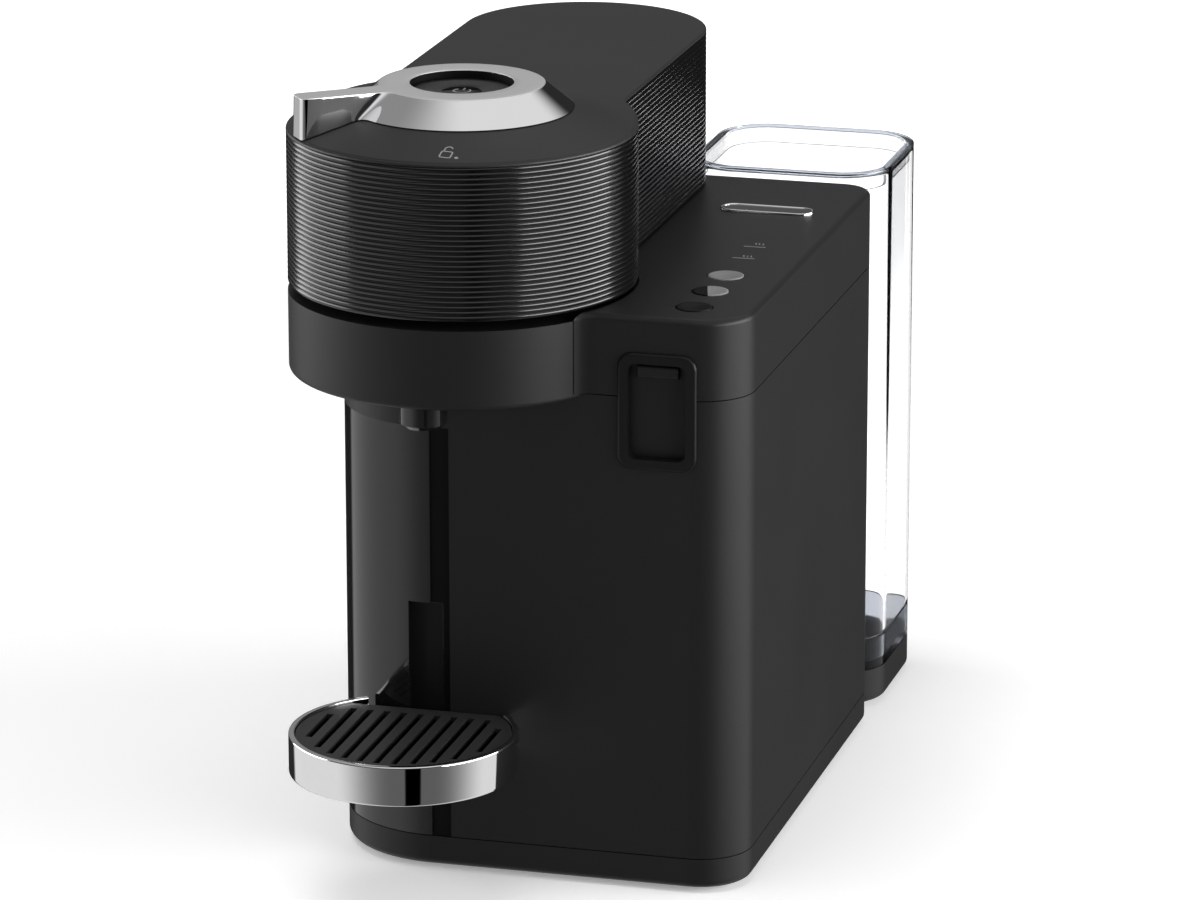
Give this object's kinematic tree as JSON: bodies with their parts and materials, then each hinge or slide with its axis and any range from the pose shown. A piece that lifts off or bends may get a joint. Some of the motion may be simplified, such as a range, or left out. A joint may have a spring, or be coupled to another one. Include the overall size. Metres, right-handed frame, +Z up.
{
  "type": "pod coffee machine",
  "caption": "Counter-top pod coffee machine with a hinged ribbed head, turning lever, milk port, slide-out capsule container, height-adjustable cup support and lift-out clear water tank.",
  "frame": {"origin": "middle of the bottom of the whole object, on the table", "axes": "+Z up, front towards -Y, +X to the right when seen from the front"},
  "size_m": [0.1958, 0.3964, 0.318],
  "materials": {
    "body_matte": "fine matt grain",
    "gloss_black": "polished",
    "ribbed_black": "satin gloss ribs",
    "inner_plastic": "moulded",
    "bright_chrome": "mirror",
    "button_black": "satin",
    "button_grey": "satin",
    "button_dark": "satin",
    "clear_tank": "clear moulded",
    "smoke_tank": "smoky moulded",
    "rubber": "matt",
    "steel": "turned",
    "aluminium": "cast",
    "board": "solder mask",
    "coil": "varnished winding",
    "hose": "silicone",
    "lens": "printed"
  },
  "bodies": {
    "housing": {"base_pan": "body_matte", "base_screws": "steel", "feet": "rubber", "lower_housing": "body_matte", "upper_housing": "body_matte", "head_collar": "body_matte", "spout": "gloss_black", "rear_panel": "body_matte", "cord_inlet": "inner_plastic", "chassis": "inner_plastic", "holder_bearing": "steel", "brew_bowl": "inner_plastic", "drive_motor": "steel", "drive_belt": "rubber", "hinge_block": "inner_plastic", "hinge_pin": "steel", "port_frame": "body_matte", "steam_connector": "steel", "indicator_lenses": "lens", "trim_plate": "bright_chrome", "button_board": "board", "main_board": "board", "pump_body": "steel", "pump_coil": "coil", "pump_mounts": "rubber", "thermoblock": "aluminium", "steam_valve": "aluminium", "flow_meter": "inner_plastic", "tank_hose": "hose", "pump_hose": "hose", "pressure_hose": "hose", "steam_pipe": "steel", "tank_seat": "body_matte"},
    "lid": {"lid_frame": "inner_plastic", "lid_sleeve": "ribbed_black", "lid_top": "body_matte", "head_seal": "rubber", "injection_bearing": "steel", "button_spring": "steel"},
    "lever": {"lever": "bright_chrome", "lever_hub": "inner_plastic"},
    "brew_button": {"brew_button": "button_black"},
    "injection": {"injection_head": "inner_plastic", "injection_needle": "steel"},
    "holder": {"capsule_holder": "inner_plastic", "holder_pulley": "inner_plastic"},
    "motor_rotor": {"motor_shaft": "steel"},
    "port_door": {"port_door": "gloss_black"},
    "container": {"capsule_bin": "inner_plastic", "container_front": "gloss_black"},
    "cup_support": {"support_ring": "bright_chrome", "support_tray": "gloss_black"},
    "drip_grid": {"drip_grid": "inner_plastic"},
    "recipe_front": {"recipe_button_front": "button_dark"},
    "recipe_middle": {"recipe_button_middle": "button_grey"},
    "recipe_rear": {"recipe_button_rear": "button_grey"},
    "tank": {"tank_foot": "smoke_tank", "water_tank": "clear_tank", "tank_valve": "inner_plastic"},
    "tank_lid": {"tank_lid": "clear_tank"}
  },
  "joints": [
    {"name": "lid_hinge", "type": "hinge", "parent": "housing", "child": "lid", "pos_m": [-0.02415, 0.123, 0.2452], "axis": [-1, 0, 0], "range_deg": [0, 45]},
    {"name": "lever_turn", "type": "hinge", "parent": "lid", "child": "lever", "pos_m": [-0.02795, -0.0838, 0.318], "axis": [0, 0, 1], "range_deg": [0, 64]},
    {"name": "brew_press", "type": "slide", "parent": "lid", "child": "brew_button", "axis": [0, 0, -1], "range_m": [0, 0.0012], "stiffness_N_per_m": 1500},
    {"name": "injection_spin", "type": "hinge", "parent": "lid", "child": "injection", "pos_m": [-0.02795, -0.0838, 0.24], "axis": [0, 0, 1], "continuous": true},
    {"name": "holder_spin", "type": "hinge", "parent": "housing", "child": "holder", "pos_m": [-0.02795, -0.0838, 0.22], "axis": [0, 0, 1], "continuous": true},
    {"name": "motor_spin", "type": "hinge", "parent": "housing", "child": "motor_rotor", "pos_m": [0.03445, -0.034, 0.19], "axis": [0, 0, 1], "continuous": true},
    {"name": "port_slide", "type": "slide", "parent": "housing", "child": "port_door", "axis": [0, 0, -1], "range_m": [0, 0.031]},
    {"name": "container_pull", "type": "slide", "parent": "housing", "child": "container", "axis": [0, -1, 0], "range_m": [0, 0.16]},
    {"name": "support_lift", "type": "slide", "parent": "container", "child": "cup_support", "axis": [0, 0, 1], "range_m": [0, 0.045]},
    {"name": "grid_lift", "type": "slide", "parent": "cup_support", "child": "drip_grid", "axis": [0, 0, 1], "range_m": [0, 0.05]},
    {"name": "recipe_front_press", "type": "slide", "parent": "housing", "child": "recipe_front", "axis": [0, 0, -1], "range_m": [0, 0.001], "stiffness_N_per_m": 600},
    {"name": "recipe_middle_press", "type": "slide", "parent": "housing", "child": "recipe_middle", "axis": [0, 0, -1], "range_m": [0, 0.001], "stiffness_N_per_m": 600},
    {"name": "recipe_rear_press", "type": "slide", "parent": "housing", "child": "recipe_rear", "axis": [0, 0, -1], "range_m": [0, 0.001], "stiffness_N_per_m": 600},
    {"name": "tank_lift", "type": "slide", "parent": "housing", "child": "tank", "axis": [0, 0.7071, 0.7071], "range_m": [0, 0.12]},
    {"name": "tank_lid_lift", "type": "slide", "parent": "tank", "child": "tank_lid", "axis": [0, 0, 1], "range_m": [0, 0.06]}
  ],
  "couplings": [
    {"joint": "injection_spin", "follows": "holder_spin", "ratio": 1},
    {"joint": "motor_spin", "follows": "holder_spin", "ratio": 1.8889}
  ]
}
